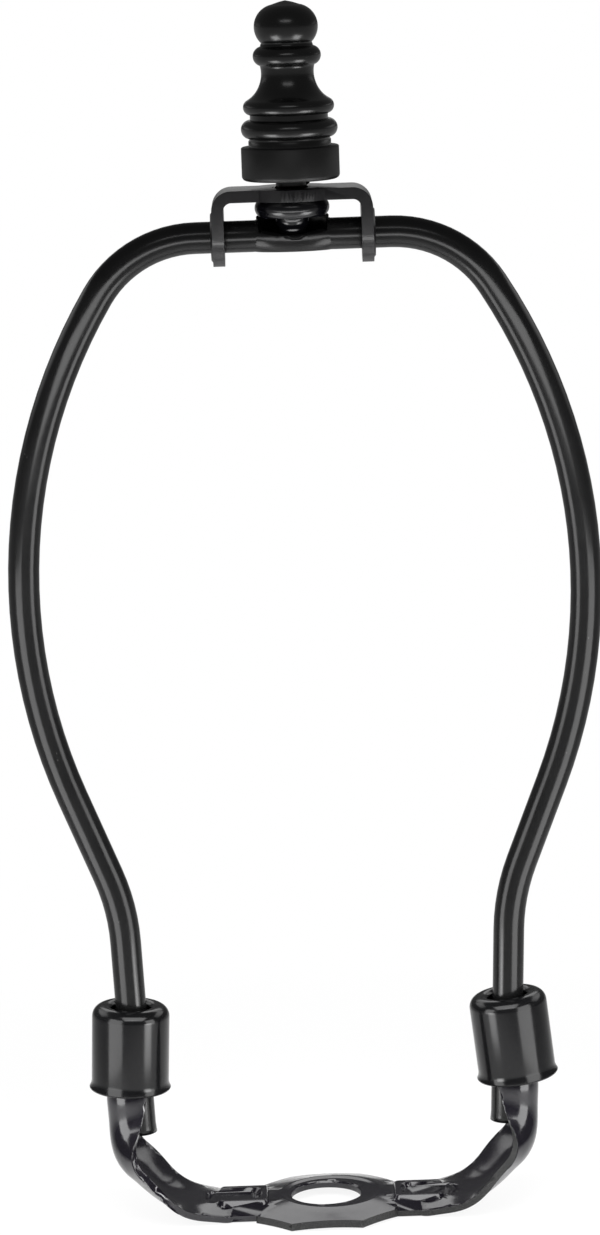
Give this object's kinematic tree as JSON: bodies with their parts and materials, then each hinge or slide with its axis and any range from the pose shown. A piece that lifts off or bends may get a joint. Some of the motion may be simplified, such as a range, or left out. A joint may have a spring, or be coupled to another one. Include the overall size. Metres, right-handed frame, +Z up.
{
  "type": "lamp harp",
  "caption": "Detachable lamp harp: wire bow in a pressed saddle, locking sleeves over its feet, swivel stud in a bracket on top, and a turned finial, all black.",
  "frame": {"origin": "centre of the saddle's hole, on the flat underside around it", "axes": "+Z up the middle of the harp to the finial, X across the bow, Y front to back"},
  "size_m": [0.1022, 0.026, 0.2118],
  "materials": {
    "saddle_lacquer": "glossy black lacquer with dull sheared edges",
    "wire_lacquer": "satin black lacquer",
    "bracket_lacquer": "semi-gloss black lacquer with dull sheared edges",
    "stud_lacquer": "black lacquer",
    "collar_lacquer": "matte black",
    "knob_lacquer": "semi-gloss black lacquer",
    "sleeve_lacquer": "glossy black lacquer"
  },
  "bodies": {
    "harp": {"saddle": "saddle_lacquer", "bow": "wire_lacquer", "bracket": "bracket_lacquer"},
    "left_sleeve": {"sleeve_left": "sleeve_lacquer"},
    "right_sleeve": {"sleeve_right": "sleeve_lacquer"},
    "swivel": {"stud": "stud_lacquer"},
    "finial": {"finial_base": "collar_lacquer", "finial_knob": "knob_lacquer"}
  },
  "joints": [
    {"name": "left_sleeve_lift", "type": "slide", "parent": "harp", "child": "left_sleeve", "axis": [-0.0384, 0, 0.9993], "range_m": [0, 0.0135]},
    {"name": "right_sleeve_lift", "type": "slide", "parent": "harp", "child": "right_sleeve", "axis": [0.0384, 0, 0.9993], "range_m": [0, 0.0135]},
    {"name": "stud_swivel", "type": "hinge", "parent": "harp", "child": "swivel", "pos_m": [0, 0, 0.1755], "axis": [0, 0, 1], "continuous": true},
    {"name": "finial_unscrew", "type": "slide", "parent": "swivel", "child": "finial", "axis": [0, 0, 1], "range_m": [-0.0012, 0.0125]}
  ]
}
